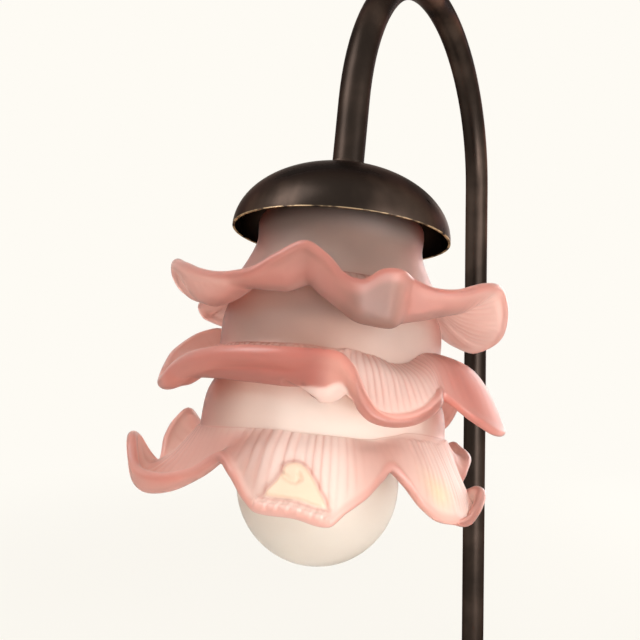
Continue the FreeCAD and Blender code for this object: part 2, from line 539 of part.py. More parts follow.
def build_head():
    save_head("tip_ring", ring(TUBE_RADIUS + FIT, TUBE_RADIUS + TIP_RING_WALL, 0, TIP_RING_HEIGHT))
    dome = dished_sheet(DOME_RADIUS, DOME_HEIGHT, DOME_FLAT_RADIUS, 0, DOME_SHEET,
                        NIPPLE_RADIUS + SLIP, -DOME_HEIGHT)
    save_head("dome_cap", dome)
    washer_low = -DOME_SHEET - WASHER_THICKNESS
    save_head("dome_washer", ring(NIPPLE_RADIUS + SLIP, DOME_FLAT_RADIUS, washer_low, -DOME_SHEET))
    save_head("dome_nut", nut(NUT_FLATS, NIPPLE_RADIUS + FIT, washer_low - NUT_HEIGHT, NUT_HEIGHT))
    save_head("head_nipple", ring(NIPPLE_BORE, NIPPLE_RADIUS, -CAP_TOP - CAP_HUB_HEIGHT, NIPPLE_GRIP))
    save_head("holder_cap", holder_cap())
    save_head("holder_body", holder_body())
    save_head("holder_insert", holder_insert())
    for x, name in terminal_places():
        save_head(name, terminal(x))
    save_head("screw_shell", screw_shell())
    save_head("centre_contact", centre_contact())


# ---------------------------------------------------------------- bulb

def bulb_skin(offset):
    """Outline of the bulb's glass at an offset inside its outer skin: sphere, waist and neck."""
    middle = V(0, 0, -BULB_CENTRE)
    sphere = BULB_RADIUS - offset
    neck = BULB_NECK_RADIUS - offset
    rise = BULB_CENTRE - BULB_TIP - BULB_NECK_END
    spare = BULB_NECK_RADIUS ** 2 + rise ** 2 - BULB_RADIUS ** 2
    waist = spare / (2 * (BULB_RADIUS - BULB_NECK_RADIUS))
    bend = math.atan2(rise, BULB_NECK_RADIUS + waist)
    waist_centre = middle + V(BULB_NECK_RADIUS + waist, 0, rise)

    def on_sphere(angle):
        return middle + V(math.cos(angle), 0, math.sin(angle)) * sphere

    def on_waist(angle):
        return waist_centre - V(math.cos(angle), 0, math.sin(angle)) * (waist + offset)

    bottom = on_sphere(-math.pi / 2)
    touch = on_sphere(bend)
    start = V(neck, 0, waist_centre.z)
    top = V(neck, 0, -BULB_TIP - BULB_CAP_END)
    edges = [Part.Arc(bottom, on_sphere((bend - math.pi / 2) / 2), touch).toShape(),
             Part.Arc(touch, on_waist(bend / 2), start).toShape(),
             Part.makeLine(start, top)]
    return edges, bottom, top


def bulb_glass():
    """Blown envelope, open at the neck where the cap is cemented on."""
    outer, outer_bottom, outer_top = bulb_skin(0)
    inner, inner_bottom, inner_top = bulb_skin(BULB_WALL)
    lip = Part.makeLine(outer_top, inner_top)
    pole = Part.makeLine(outer_bottom, inner_bottom)
    return turned(*outer, *inner, lip, pole)


def bulb_cap():
    """Threaded metal cap, closed in to the insulator at its upper end."""
    crest = BULB_CAP_RADIUS
    root = crest - THREAD_DEPTH
    sheet = BULB_CAP_SHEET
    low = -BULB_TIP - BULB_CAP_END
    high = -BULB_TIP - BULB_CAP_START
    start = high - THREAD_PITCH / 2
    stop = start - THREAD_TURNS * THREAD_PITCH
    shoulder = BULB_SHOULDER_RADIUS
    line = Part.makeLine
    edges = [
        line(V(shoulder, 0, high), V(root, 0, start)), line(V(root, 0, stop), V(crest, 0, low)),
        line(V(crest, 0, low), V(crest - sheet, 0, low)),
        line(V(crest - sheet, 0, low), V(root - sheet, 0, stop)),
        line(V(root - sheet, 0, start), V(shoulder - sheet, 0, high)),
        line(V(shoulder - sheet, 0, high), V(shoulder, 0, high))]
    edges += thread_wave(root, start, THREAD_TURNS, THREAD_DEPTH)
    edges += thread_wave(root - sheet, start, THREAD_TURNS, THREAD_DEPTH)
    return turned(*edges)


def build_bulb():
    high = -BULB_TIP - BULB_CAP_START
    contact_low = -BULB_TIP - BULB_CONTACT_THICKNESS
    save_head("bulb_glass", bulb_glass())
    save_head("bulb_cap", bulb_cap())
    save_head("bulb_insulator", turned(*outline([
        (0, contact_low), (BULB_CONTACT_RADIUS, contact_low), (BULB_SHOULDER_RADIUS, high), (0, high)])))
    save_head("bulb_contact", ring(0, BULB_CONTACT_RADIUS, contact_low, -BULB_TIP))


# ---------------------------------------------------------------- glass shade and what clamps it

def shade_ring(top):
    """Threaded ring with a scalloped grip round its edge."""
    blank = ring(HOLDER_RADIUS + FIT, RING_RADIUS, top - RING_THICKNESS, top)
    grips = []
    for k in range(RING_GRIPS):
        angle = 2 * math.pi * k / RING_GRIPS
        place = V(RING_RADIUS * math.cos(angle), RING_RADIUS * math.sin(angle), top - RING_THICKNESS)
        grips.append(Part.makeCylinder(RING_GRIP_RADIUS, RING_THICKNESS, place))
    return blank.cut(grips)


def ruffle_at(rows, angle):
    """Root depth, then belly, lip and rim of a ruffle at an angle, eased between its rows."""
    turns = [(row[0] - 360,) + row[1:] for row in rows[-2:]]
    later = [(row[0] + 360,) + row[1:] for row in rows[:2]]
    track = turns + list(rows) + later
    k = max(i for i in range(1, len(track) - 2) if track[i][0] <= angle)
    before, here, there, after = track[k - 1:k + 3]
    span = there[0] - here[0]
    t = (angle - here[0]) / span
    values = []
    for j in range(1, len(here)):
        slope_here = (there[j] - before[j]) / (there[0] - before[0]) * span * EASE
        slope_there = (after[j] - here[j]) / (after[0] - here[0]) * span * EASE
        values.append((2 * t ** 3 - 3 * t ** 2 + 1) * here[j] + (t ** 3 - 2 * t ** 2 + t) * slope_here
                      + (3 * t ** 2 - 2 * t ** 3) * there[j] + (t ** 3 - t ** 2) * slope_there)
    return values


def cup_midline(seat, wall, rows, angle):
    """Middle line of a cup's wall and petal in one radial plane, from hole to rim."""
    root, belly_radius, belly, lip_radius, lip, reach, rim = ruffle_at(rows, angle)
    last_radius, last_depth = wall[-2]
    foot = wall[-1][0]
    knee = (last_radius + (foot - last_radius) * KNEE, last_depth + (root - last_depth) * KNEE)
    flange = (GLASS_HOLE_RADIUS + GLASS_THICKNESS / 4, seat + GLASS_THICKNESS / 2)
    petal = [(foot, root), (belly_radius, belly), (lip_radius, lip), (reach, rim)]
    profile = [flange, *wall[:-1], knee, *petal]
    turn = math.radians(angle)
    return [V(r * math.cos(turn), r * math.sin(turn), -d) for r, d in profile]


def cup_section(before, here, after):
    """Closed loop of control points, half a wall's thickness either side of the middle line."""
    half = GLASS_THICKNESS / 2
    last = len(here) - 1
    outer = []
    inner = []
    for k, point in enumerate(here):
        run = here[min(k + 1, last)] - here[max(k - 1, 0)]
        side = run.cross(after[k] - before[k]).normalize() * half
        outer.append(point + side)
        inner.append(point - side)
    tip = here[last] + (here[last] - here[last - 1]).normalize() * half
    return outer + [tip] + inner[::-1]


def glass_cup(seat, wall, rows):
    """One blown cup: flange, wall and ruffled petals as a single closed skin."""
    angles = [rows[0][0] + 360 * station / STATIONS for station in range(STATIONS)]
    lines = [cup_midline(seat, wall, rows, angle) for angle in angles]
    poles = [cup_section(lines[k - 1], lines[k], lines[(k + 1) % STATIONS]) for k in range(STATIONS)]
    count = len(poles[0])
    skin = Part.BSplineSurface()
    skin.buildFromPolesMultsKnots(
        poles, [1] * (STATIONS + 1), [1] * (count + 1),
        [float(k) for k in range(STATIONS + 1)], [float(k) for k in range(count + 1)],
        True, True, SKIN_DEGREE, SKIN_DEGREE)
    cup = Part.Solid(Part.Shell([skin.toShape()]))
    if cup.Volume < 0:
        cup.reverse()
    return cup


def build_shade():
    sleeve_bore = HOLDER_RADIUS + SLIP
    top_ring = -UPPER_SEAT + GASKET_THICKNESS
    upper_low = -UPPER_SEAT - GLASS_THICKNESS
    middle_low = -MIDDLE_SEAT - GLASS_THICKNESS
    lower_low = -LOWER_SEAT - GLASS_THICKNESS
    save_head("shade_ring_top", shade_ring(top_ring + RING_THICKNESS))
    save_head("gasket_top", ring(sleeve_bore, GASKET_RADIUS, -UPPER_SEAT, top_ring))
    save_head("shade_upper", glass_cup(UPPER_SEAT, UPPER_WALL, UPPER_RUFFLE))
    save_head("sleeve_upper", ring(sleeve_bore, sleeve_bore + SLEEVE_WALL, -MIDDLE_SEAT, upper_low))
    save_head("shade_middle", glass_cup(MIDDLE_SEAT, MIDDLE_WALL, MIDDLE_RUFFLE))
    save_head("sleeve_lower", ring(sleeve_bore, sleeve_bore + SLEEVE_WALL, -LOWER_SEAT, middle_low))
    save_head("shade_lower", glass_cup(LOWER_SEAT, LOWER_WALL, LOWER_RUFFLE))
    save_head("gasket_bottom", ring(sleeve_bore, GASKET_RADIUS, lower_low - GASKET_THICKNESS, lower_low))
    save_head("shade_ring_bottom", shade_ring(lower_low - GASKET_THICKNESS - FIT))


build_base()
build_head()
build_bulb()
build_shade()
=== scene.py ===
# %% [markdown]
# # A table lamp with a ruffled glass shade
# The lamp has a dark patinated tube that rises from a round foot, arches over and carries a small
# dome.  Under the dome three blown glass cups hang one inside the other round a frosted bulb, and
# each cup ends in a ruffle of petals.  The metal work arrives ready made from the CAD model.  This
# script gives it finishes, lights it, and models the glass, which is too free a form for plain solids.

import json
import math

import bpy
import numpy as np
from mathutils import Matrix, Vector


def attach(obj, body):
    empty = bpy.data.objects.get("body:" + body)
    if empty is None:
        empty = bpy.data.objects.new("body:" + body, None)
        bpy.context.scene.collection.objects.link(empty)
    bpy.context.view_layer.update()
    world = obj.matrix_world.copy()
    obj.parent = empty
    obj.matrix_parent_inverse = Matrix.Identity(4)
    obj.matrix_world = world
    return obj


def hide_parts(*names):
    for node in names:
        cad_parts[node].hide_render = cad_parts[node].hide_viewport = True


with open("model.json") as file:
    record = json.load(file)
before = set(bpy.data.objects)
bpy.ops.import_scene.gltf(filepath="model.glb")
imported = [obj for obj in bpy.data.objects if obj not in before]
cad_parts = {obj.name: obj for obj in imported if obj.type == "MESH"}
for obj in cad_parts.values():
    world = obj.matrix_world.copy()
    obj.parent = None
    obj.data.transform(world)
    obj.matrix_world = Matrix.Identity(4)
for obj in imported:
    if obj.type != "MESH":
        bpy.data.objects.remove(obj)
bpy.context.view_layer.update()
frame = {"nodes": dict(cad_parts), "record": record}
nodes = frame["nodes"]
MM = 0.001
print("CAD nodes:", len(nodes))

# %% [markdown]
# ## The camera
# The photograph was taken from a little below the dome, to the right of the lamp, with a lens of
# ordinary length.  A camera's own axes are its right, its up, and the direction behind it, so those
# three vectors, turned by heading, pitch and roll, are the columns of its matrix.

# %% Camera
CAMERA_PLACE = Vector((0.1448, -0.4815, 0.2683))
HEADING = math.radians(27.02)
PITCH = math.radians(-2.16)
ROLL = math.radians(0.14)
SENSOR = 36.0
FOCAL_PIXELS = 857.7
PICTURE = 640

ahead = Vector((-math.sin(HEADING) * math.cos(PITCH), math.cos(HEADING) * math.cos(PITCH), math.sin(PITCH)))
level = Vector((math.cos(HEADING), math.sin(HEADING), 0))
overhead = level.cross(ahead)
right = level * math.cos(ROLL) + overhead * math.sin(ROLL)
up = overhead * math.cos(ROLL) - level * math.sin(ROLL)

bpy.ops.object.camera_add()
camera = bpy.context.object
camera.matrix_world = Matrix.Translation(CAMERA_PLACE) @ Matrix((right, up, -ahead)).transposed().to_4x4()
camera.data.sensor_fit = "HORIZONTAL"
camera.data.sensor_width = SENSOR
camera.data.lens = FOCAL_PIXELS / PICTURE * SENSOR
camera.data.clip_start = 0.01
bpy.context.scene.camera = camera
bpy.context.scene.view_settings.view_transform = "Standard"
print("lens", round(camera.data.lens, 2), "mm")

# %% [markdown]
# ## A small language for finishes
# Shader nodes are sums and products of fields over the surface.  Wrapping a socket in a class that
# knows + - * / lets a finish be written as one would write it on paper.  Every other node comes from
# one method that takes its type, its settings and what its sockets hold.

# %% Fields and finishes
class Field:
    """A value over a surface: one output socket of a finish's node tree."""

    def __init__(self, finish, socket):
        self.finish = finish
        self.socket = socket

    def math(self, operation, first, second):
        return self.finish.node("ShaderNodeMath", {"operation": operation}, {0: first, 1: second})

    def __add__(self, other):
        return self.math("ADD", self, other)

    def __mul__(self, other):
        return self.math("MULTIPLY", self, other)

    def __sub__(self, other):
        return self.math("SUBTRACT", self, other)

    def __rsub__(self, other):
        return self.math("SUBTRACT", other, self)

    __radd__ = __add__
    __rmul__ = __mul__

    def between(self, low, high):
        """0 below low, 1 above high, smooth between."""
        return self.finish.node("ShaderNodeMapRange", {"interpolation_type": "SMOOTHSTEP"},
                                {"Value": self, "From Min": low, "From Max": high})


class Shading:
    """The node tree of a material or a world, and the means to write it."""

    def __init__(self, owner):
        owner.use_nodes = True
        self.tree = owner.node_tree

    def node(self, kind, settings, inputs, output=0):
        made = self.tree.nodes.new(kind)
        for name, value in settings.items():
            setattr(made, name, value)
        for name, value in inputs.items():
            self.feed(made.inputs[name], value)
        return Field(self, made.outputs[output])

    def feed(self, socket, value):
        if isinstance(value, Field):
            self.tree.links.new(value.socket, socket)
        elif socket.type == "RGBA" and len(value) == 3:
            socket.default_value = (*value, 1)
        else:
            socket.default_value = value

    def place(self):
        return self.node("ShaderNodeTexCoord", {}, {}, "Object")

    def noise(self, scale, detail=3.0, stretch=(1, 1, 1)):
        """Noise in 0..1, scale in features per metre, stretched along the axes."""
        where = self.node("ShaderNodeVectorMath", {"operation": "MULTIPLY"}, {0: self.place(), 1: stretch})
        return self.node("ShaderNodeTexNoise", {}, {"Vector": where, "Scale": scale, "Detail": detail}, "Fac")

    def blend(self, factor, first, second):
        """Colour that goes from first to second with the factor."""
        mixed = self.tree.nodes.new("ShaderNodeMix")
        mixed.data_type = "RGBA"
        self.feed(mixed.inputs[0], factor)
        self.feed(mixed.inputs[6], first)
        self.feed(mixed.inputs[7], second)
        return Field(self, mixed.outputs[2])

    def bump(self, height, strength, distance=0.0003):
        held = {"Height": height, "Strength": strength, "Distance": distance}
        return self.node("ShaderNodeBump", {}, held, "Normal")


class Finish(Shading):
    """A material with one plain surface shader to start from."""

    def __init__(self, name):
        self.material = bpy.data.materials.new(name)
        super().__init__(self.material)
        self.surface = self.tree.nodes["Principled BSDF"]

    def set(self, **sockets):
        for name, value in sockets.items():
            self.feed(self.surface.inputs[name.replace("_", " ")], value)
        return self.material

    def mix_with(self, other, factor):
        """Go over from the plain surface to another shader as the factor grows, and show the two."""
        plain = Field(self, self.surface.outputs[0])
        both = self.node("ShaderNodeMixShader", {}, {0: factor, 1: plain, 2: other})
        self.tree.links.new(both.socket, self.tree.nodes["Material Output"].inputs["Surface"])
        return self.material


def linear(red, green, blue):
    """Colour as a picture shows it, 0 to 255, turned into the light values that shaders use."""
    return tuple(((c / 255 + 0.055) / 1.055) ** 2.4 if c > 10 else c / 255 / 12.92 for c in (red, green, blue))


# %% [markdown]
# ## Floor and light
# The photograph has a plain cream background.  A pale floor carries the lamp and its soft shadow.
# Rays from the camera, and rays that metal and glass send out, see the world's cream colour in full.
# All other rays meet a dimmer world, so the background puts no extra light on the lamp.  Close to the
# lamp the floor is part lit paper, so that a shadow shows, and further off it is cream only.

# %% Floor and world
CREAM = linear(254, 251, 244)
FLOOR_SIZE = 6.0
PLAIN_CREAM = 0.75         # share of the cream colour itself close to the lamp, the rest is lit paper
SHADOW_FADES = (0.3, 0.9)  # metres from the foot over which the lit paper, and so the shadow, fades
AMBIENT = 0.55             # strength of the world for all rays that don't see it directly

bpy.ops.object.select_all(action="DESELECT")
bpy.ops.mesh.primitive_plane_add(size=FLOOR_SIZE)
floor = bpy.context.object
floor.name = "floor"

floor_finish = Finish("floor_paper")
floor_finish.set(Base_Color=linear(236, 233, 227), Roughness=0.9)
glow = floor_finish.node("ShaderNodeEmission", {}, {"Color": CREAM, "Strength": 1.0}, "Emission")
seen = floor_finish.node("ShaderNodeLightPath", {}, {}, "Is Camera Ray")
away = floor_finish.node("ShaderNodeVectorMath", {"operation": "LENGTH"}, {0: floor_finish.place()}, "Value")
lit = PLAIN_CREAM + (1 - PLAIN_CREAM) * away.between(*SHADOW_FADES)
floor.data.materials.append(floor_finish.mix_with(glow, seen * lit))

world = bpy.data.worlds.new("studio")
bpy.context.scene.world = world
sky = Shading(world)
background = sky.tree.nodes["Background"]
path = {name: sky.node("ShaderNodeLightPath", {}, {}, name)
        for name in ("Is Camera Ray", "Is Glossy Ray", "Is Transmission Ray")}
direct = path["Is Camera Ray"] + path["Is Glossy Ray"] + path["Is Transmission Ray"]
direct.socket.node.use_clamp = True
sky.feed(background.inputs["Color"], CREAM)
sky.feed(background.inputs["Strength"], direct * (1 - AMBIENT) + AMBIENT)
print("floor", FLOOR_SIZE, "m wide, ambient light", AMBIENT)

# %% [markdown]
# Four rectangular lamps face the head of the lamp.  The key stands high on the left, the fill at the
# right, one lamp shines from behind through the glass, and a small one lights the petals from below.

# %% Lamps
def softbox(name, place, target, width, height, watts):
    """Rectangular area light that faces a target."""
    bpy.ops.object.light_add(type="AREA", location=place)
    box = bpy.context.object
    box.name = name
    box.data.shape = "RECTANGLE"
    box.data.size = width
    box.data.size_y = height
    box.data.energy = watts
    box.rotation_euler = (Vector(target) - Vector(place)).to_track_quat("-Z", "Y").to_euler()
    return box


HEAD_PLACE = (0, -0.19, 0.25)
PETALS_PLACE = (0, -0.2, 0.2)
lamps = [
    softbox("key", (-0.45, -0.7, 1.0), HEAD_PLACE, width=0.5, height=0.7, watts=7.0),
    softbox("fill", (0.95, -0.45, 0.25), HEAD_PLACE, width=0.5, height=0.9, watts=4.5),
    softbox("back", (0.3, 0.9, 0.35), HEAD_PLACE, width=0.8, height=0.6, watts=5.0),
    softbox("low", (0.6, -0.7, 0.04), PETALS_PLACE, width=0.4, height=0.3, watts=6.5),
]
print("lamps", [lamp.name for lamp in lamps])

# %% [markdown]
# ## Metal and fittings
# The stem, dome and foot share one finish: brass browned almost to black, with cloudy places rubbed a
# little lighter.  Along the rim of the dome the brown is worn through in spots.  The other metals,
# the resin, the ceramic, the fibre and the bulb's glass each have a fine grain and a slow cloud in
# their colour.

# %% Finishes of the metal and fittings
APEX = Vector((0, -0.1742, 0.3143))
TILT = math.radians(-12)
DOME_DEPTH = 27.2 * MM  # from the top of the dome down to its rim
DOME_REACH = 52 * MM    # from the top of the dome to just past its rim
WORN_EDGE = 0.45 * MM   # half the width of the worn line


def depth_below_apex(f):
    """Metres down the tilted axis of the head, counted from the top of the dome."""
    down = Vector((0, math.sin(TILT), -math.cos(TILT)))
    along = f.node("ShaderNodeVectorMath", {"operation": "DOT_PRODUCT"}, {0: f.place(), 1: down}, "Value")
    return along - APEX.dot(down)


def patinated_bronze():
    f = Finish("bronze_patina")
    cloud = f.noise(28, 4)
    streak = f.noise(60, 3, (1, 1, 0.12))
    speck = f.noise(900, 2)
    patch = f.noise(240, 4)
    depth = depth_below_apex(f)
    worn = (cloud * 0.6 + streak * 0.4).between(0.42, 0.66)
    colour = f.blend(worn, linear(44, 37, 33), linear(76, 63, 56))
    edge = depth.between(DOME_DEPTH - WORN_EDGE, DOME_DEPTH)
    edge = edge * (1 - depth.between(DOME_DEPTH, DOME_DEPTH + WORN_EDGE))
    reach = f.node("ShaderNodeVectorMath", {"operation": "DISTANCE"}, {0: f.place(), 1: APEX}, "Value")
    edge = edge * (1 - reach.between(DOME_REACH, DOME_REACH + MM))
    colour = f.blend(edge * patch.between(0.35, 0.55), colour, linear(206, 178, 142))
    rough = 0.28 + cloud * 0.12 + speck * 0.06
    return f.set(Base_Color=colour, Metallic=0.92, Roughness=rough, Specular_Tint=(0.35, 0.3, 0.28, 1),
                 Normal=f.bump(speck * 0.5 + cloud, 0.12))


def brushed_metal(name, dark, light, rough, grain=(1, 1, 14)):
    f = Finish(name)
    brush = f.noise(180, 3, grain)
    cloud = f.noise(40, 2)
    colour = f.blend(brush * 0.5 + cloud * 0.5, dark, light)
    return f.set(Base_Color=colour, Metallic=1.0, Roughness=rough + brush * 0.14, Normal=f.bump(brush, 0.15))


def cast_iron():
    f = Finish("iron")
    grain = f.noise(700, 4)
    cloud = f.noise(50, 3)
    colour = f.blend(cloud, linear(48, 46, 46), linear(74, 70, 68))
    return f.set(Base_Color=colour, Metallic=0.7, Roughness=0.55 + grain * 0.2, Normal=f.bump(grain, 0.5))


def felt():
    f = Finish("felt")
    fluff = f.noise(1500, 5)
    cloud = f.noise(120, 3)
    colour = f.blend(fluff * 0.6 + cloud * 0.4, linear(38, 52, 44), linear(66, 84, 72))
    return f.set(Base_Color=colour, Roughness=0.95, Sheen_Weight=0.4, Normal=f.bump(fluff, 0.8))


def moulded(name, colour, rough):
    """Dark moulded resin with a faint moulding texture."""
    f = Finish(name)
    orange = f.noise(900, 2)
    cloud = f.noise(60, 3)
    paler = tuple(c * 1.5 + 0.004 for c in colour)
    return f.set(Base_Color=f.blend(cloud, colour, paler), Roughness=rough + cloud * 0.1,
                 Normal=f.bump(orange, 0.15))


def ceramic():
    f = Finish("ceramic")
    speck = f.noise(800, 3)
    cloud = f.noise(90, 3)
    colour = f.blend(cloud, linear(214, 208, 196), linear(236, 232, 224))
    return f.set(Base_Color=colour, Roughness=0.28 + speck * 0.2, Normal=f.bump(speck, 0.2))


def black_glass():
    f = Finish("black_glass")
    swirl = f.noise(200, 2)
    return f.set(Base_Color=f.blend(swirl, linear(18, 16, 20), linear(34, 30, 38)),
                 Roughness=0.12 + swirl * 0.05, Coat_Weight=0.5)


def fibre():
    f = Finish("fibre")
    grain = f.noise(900, 4, (1, 1, 0.3))
    return f.set(Base_Color=f.blend(grain, linear(104, 72, 52), linear(150, 112, 84)),
                 Roughness=0.75 + grain * 0.1, Normal=f.bump(grain, 0.4))


GLASS_IOR = 1.45


def frosted_bulb():
    """Glass frosted by acid inside: milky, with a faint cloudiness."""
    f = Finish("frosted_white")
    cloud = f.noise(45, 3)
    grain = f.noise(1800, 2)
    colour = f.blend(cloud, linear(244, 232, 220), linear(252, 245, 236))
    return f.set(Base_Color=colour, Roughness=0.34 + cloud * 0.1, Transmission_Weight=0.6, IOR=GLASS_IOR,
                 Normal=f.bump(grain, 0.06))


finishes = {
    "bronze": patinated_bronze(),
    "iron": cast_iron(),
    "felt": felt(),
    "steel": brushed_metal("steel", linear(150, 148, 146), linear(196, 194, 190), 0.3),
    "brass": brushed_metal("brass", linear(150, 118, 62), linear(204, 168, 102), 0.28),
    "cap_metal": brushed_metal("cap_metal", linear(168, 166, 162), linear(206, 204, 200), 0.25, (1, 1, 4)),
    "dark_resin": moulded("dark_resin", linear(28, 25, 25), 0.35),
    "ceramic": ceramic(),
    "black_glass": black_glass(),
    "fibre": fibre(),
    "frosted_white": frosted_bulb(),
}
print("finishes", sorted(finishes))

# %% [markdown]
# ## The pink glass
# The cups are glass with a pink body, etched matt all over.  The wall is greyish where it is seen
# square on and pink where it is seen edge on, and the petals are pink flesh with milky places.  Some
# light and shade is painted into the colour: painted shade high in the wall under the dome, in grooves
# and creases and on smoky grey places, and painted light where the wall is lit through and where petals
# face the light.  Each cup carries marks on its points, numbers that say how much of a petal, a shaded
# groove, a milky and lit place or a smoky shade a point is and how far it is from the rim.  The colour
# follows these marks.

# %% Finish of the glass
CLEAR = 0.85  # share of light that goes through the glass where it is clear
MILKY = 0.25  # the same where it is milky


def pink_glass():
    """Pink body, grey in the wall, flesh and milk in the petals, with painted light and shade and an etched
    skin.
    """
    f = Finish("frosted_pink")

    def mark(name):
        return f.node("ShaderNodeAttribute", {"attribute_name": name}, {}, "Fac")

    cloud = f.noise(26, 3)
    grain = f.noise(1600, 2)
    speck = f.noise(420, 4)
    edge_on = f.node("ShaderNodeLayerWeight", {}, {"Blend": 0.5}, "Facing")
    pink = (mark("petal") + (cloud - 0.5) * 0.35).between(0.1, 0.9)
    milky_and_lit = mark("milky_and_lit")
    rim_light = edge_on.between(0.25, 0.85)
    # The wall, with painted shade where it goes up into the dome, as if the dome's shadow fell on it.
    body = f.blend(rim_light, linear(240, 216, 204), linear(202, 108, 92))
    body = f.blend(mark("dome_shade"), body, f.blend(rim_light, linear(88, 60, 50), linear(168, 100, 84)))
    # Painted light: the wall paler where light comes through it, and milky there.
    body = f.blend(milky_and_lit, body, linear(255, 238, 226))
    # The petals: flesh, deeper in places, and paler and milky where they carry painted light.
    flesh = f.blend(cloud, linear(236, 176, 163), linear(244, 196, 184))
    flesh = f.blend(mark("deep"), flesh, linear(222, 150, 137))
    lit_milk = f.blend(cloud, linear(252, 226, 214), linear(255, 240, 230))
    colour = f.blend(pink, body, f.blend(milky_and_lit, flesh, lit_milk))
    # Painted shade: a smoky grey where petals lie on their shadowed side.
    colour = f.blend(mark("smoky_shade") * 0.8, colour, linear(188, 158, 144))
    # Painted shade in the rib grooves, in the creases of the folded tip, along the flap's and pocket's edges
    # and at the step.
    colour = f.blend(mark("shaded_groove") * 0.5, colour, linear(206, 138, 122))
    near_rim = 1 - mark("to_rim").between(0.5, 4.0)
    colour = f.blend(near_rim * 0.7, colour, linear(236, 166, 153))
    colour = f.blend(mark("cream"), colour, linear(244, 216, 190))
    # A warm painted highlight on a petal of the lower cup.
    colour = f.blend(mark("painted_highlight") * 0.65, colour, linear(250, 234, 186))
    rough = 0.38 + cloud * 0.10 + speck * 0.05 - near_rim * 0.14
    etched = f.bump(grain * 0.4 + speck * 0.6, 0.10)
    milky = f.node("ShaderNodeBsdfPrincipled", {}, {
        "Base Color": colour, "Roughness": rough, "Transmission Weight": MILKY, "IOR": GLASS_IOR,
        "Normal": etched}, "BSDF")
    f.set(Base_Color=colour, Roughness=rough, Transmission_Weight=CLEAR, IOR=GLASS_IOR, Normal=etched)
    return f.mix_with(milky, milky_and_lit * 0.8 + mark("cream") * 0.2)


finishes["frosted_pink"] = pink_glass()
print("finishes", len(finishes))

# %% Dress the CAD nodes
slot_of = {part["node"]: part["material_slot"] for part in frame["record"]["subparts"]}
for name, node in nodes.items():
    node.data.materials.clear()
    node.data.materials.append(finishes[slot_of[name]])
print("slots", sorted(set(slot_of.values())))

# %% [markdown]
# ## The three cups
# Each cup is blown, and its mouth is worked with pincers while soft, so no two petals are alike.
# The plain wall is a turned profile.  The front of each ruffle was measured from the photograph: one
# row for each place round the cup where a petal peaks, folds or dips.  Its back isn't seen, so there
# the rows go on in the same rhythm.  A row gives the angle, the depth at which the ruffle leaves the
# wall, then radius and depth of the belly, of the lip and of the rim.  All depths run down from the
# top of the dome, along the tilted axis.

# %% Measured profiles of the glass, in millimetres and degrees
UPPER_WALL = ((26, 23.9), (30.6, 21.6), (30.8, 27), (29.8, 32), (32.4, 39), (35.4, 45), (37.8, 49.5))
MIDDLE_WALL = ((26, 41), (29.5, 43.5), (32, 49.8), (37.2, 55), (40, 61), (40.3, 67), (40.2, 74))
LOWER_WALL = ((29.5, 63), (32.5, 67), (34, 74), (36.4, 81), (41.9, 88), (43.7, 94), (44.1, 102))
UPPER_RUFFLE = (
    (-178, 49.5, 47, 54, 54, 58, 58, 60.5), (-171, 49.5, 47, 53, 53.5, 56, 57.5, 57.5),
    (-164, 49.5, 47, 53, 51.5, 54, 54, 54.5), (-157, 49.5, 49, 56, 56, 54.5, 59.5, 51),
    (-150, 49.5, 50, 59, 58, 54, 61.5, 47), (-142, 49.5, 50, 60, 58, 51, 62, 44.5),
    (-130, 49.5, 51, 63, 57, 55, 60, 47.5), (-119, 49.5, 50, 65, 55, 58, 58, 51),
    (-110, 49.5, 49, 63, 54, 56, 57, 53), (-103, 49.5, 48, 57.5, 54, 55.5, 57, 53.5),
    (-93, 49.5, 47, 58.5, 54, 54.5, 57.5, 52.5), (-84, 49.5, 47, 60, 54, 50.5, 57.5, 47.5),
    (-75, 49.5, 47, 57, 54, 47.5, 58, 43.5), (-68, 49.5, 50, 62, 54, 52, 57.5, 47),
    (-61, 49.5, 51, 66, 55, 59, 57.5, 53), (-55, 49.5, 52, 70, 56, 62, 57.5, 54),
    (-49, 49.5, 53, 72, 56, 60, 57.5, 50), (-43, 49.5, 53, 72, 56, 60, 57, 49),
    (-36, 49.5, 48.5, 68, 51, 59, 53.5, 50), (-27, 49.5, 49, 65, 51.5, 58, 54, 52),
    (-18, 49.5, 50.5, 62, 55, 55.5, 58, 51.5), (-8, 49.5, 51, 58.5, 58, 53, 63, 47.5),
    (0, 49.5, 50, 54.5, 60, 49.5, 65, 47), (6, 49.5, 49, 53, 60, 51.5, 65.7, 51),
    (13, 49.5, 49.5, 56, 60, 56, 65.5, 55), (21, 49.5, 50.5, 59, 59, 60.5, 64.5, 60),
    (29, 49.5, 49.5, 60, 57, 63, 62, 63), (35, 49.5, 47.5, 60, 53, 64, 58, 65),
    (42, 49.5, 46, 58, 49.5, 61.5, 53, 62.5), (50, 49.5, 46, 56, 48.5, 58, 50.5, 59),
    (58, 49.5, 46.5, 54, 50, 54, 52, 55), (68, 49.5, 47, 52, 54, 50, 58, 47),
    (88, 49.5, 48, 50, 56, 60, 60, 66), (108, 49.5, 47.1, 58, 55.1, 51, 58, 48),
    (130, 49.5, 48.5, 58, 57.6, 45.4, 61, 40), (156, 49.5, 47.1, 49, 55.1, 56.7, 58, 60),
)
